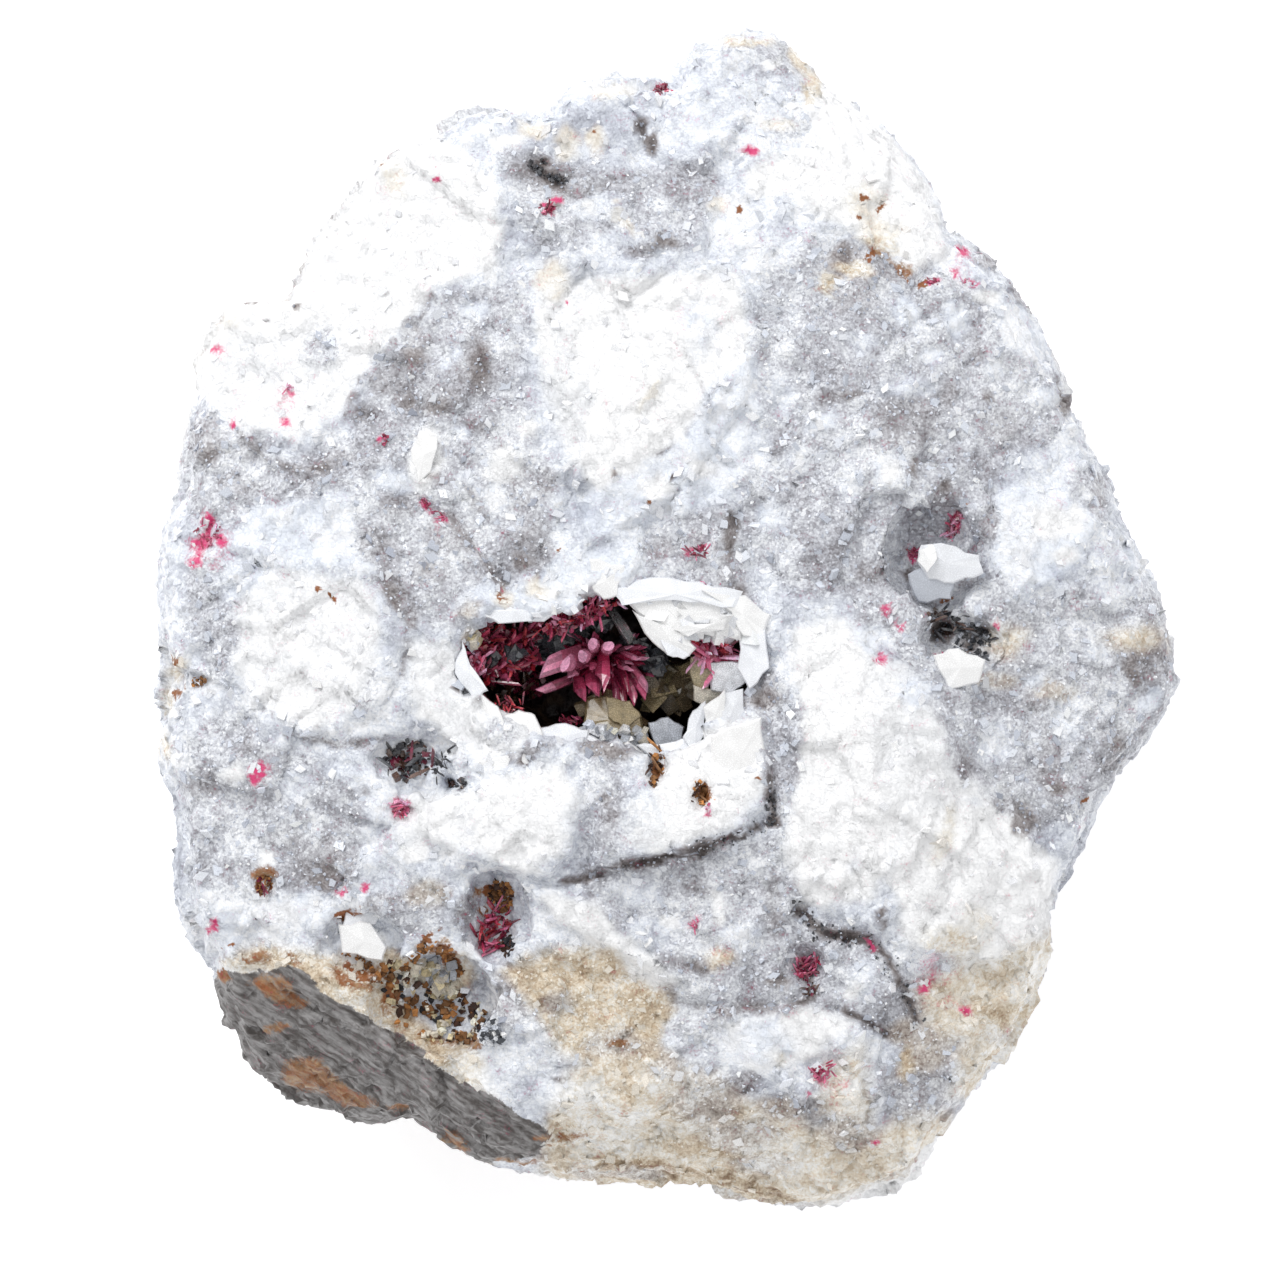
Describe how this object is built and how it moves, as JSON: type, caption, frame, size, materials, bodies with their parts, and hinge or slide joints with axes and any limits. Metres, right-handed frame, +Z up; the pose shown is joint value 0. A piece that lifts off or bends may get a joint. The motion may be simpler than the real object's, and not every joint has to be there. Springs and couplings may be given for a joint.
{
  "type": "mineral specimen: erythrite on matrix",
  "caption": "Broken lump of pale rock lying on its back, with a crystal-lined hollow in its face that holds a fan of crimson erythrite blades.",
  "frame": {"origin": "under the middle of the lump, on the surface that it lies on", "axes": "+Z up, out of the face; +Y towards the face's top, along the lump's longest side; +X to the face's right"},
  "size_m": [0.086, 0.0998, 0.0476],
  "materials": {
    "matrix_rock": "rough broken rock, white and grey",
    "erythrite": "crimson crystals, glassy to pearly",
    "clear_quartz": "clear crystal",
    "black_ore": "grey-black, dull metallic",
    "amber_calcite": "brown, translucent",
    "honey_calcite": "pale yellow, translucent",
    "white_spar": "white, translucent, glassy cleavage",
    "rust_crust": "earthy, matte",
    "cream_calcite": "cream, satin",
    "speckled_grey": "grey, speckled, matte"
  },
  "bodies": {
    "root": {"matrix": "matrix_rock", "erythrite_spray": "erythrite", "erythrite_roof_crust": "erythrite", "erythrite_left_crust": "erythrite", "erythrite_right_cluster": "erythrite", "quartz_prism": "clear_quartz", "ore_crystals_left": "black_ore", "ore_crystals_right": "black_ore", "amber_calcite": "amber_calcite", "honey_calcite": "honey_calcite", "spar_blades": "white_spar", "black_crystals_left": "black_ore", "erythrite_rosette": "erythrite", "erythrite_right_slit": "erythrite", "spar_points_right": "white_spar", "black_crystals_right": "black_ore", "erythrite_lower_sprig": "erythrite", "rust_crust_middle": "rust_crust", "rust_crust_left": "rust_crust", "cream_calcite": "cream_calcite", "speckled_nodule": "speckled_grey", "erythrite_lower_fan": "erythrite", "spar_crystal_left": "white_spar"}
  },
  "joints": []
}
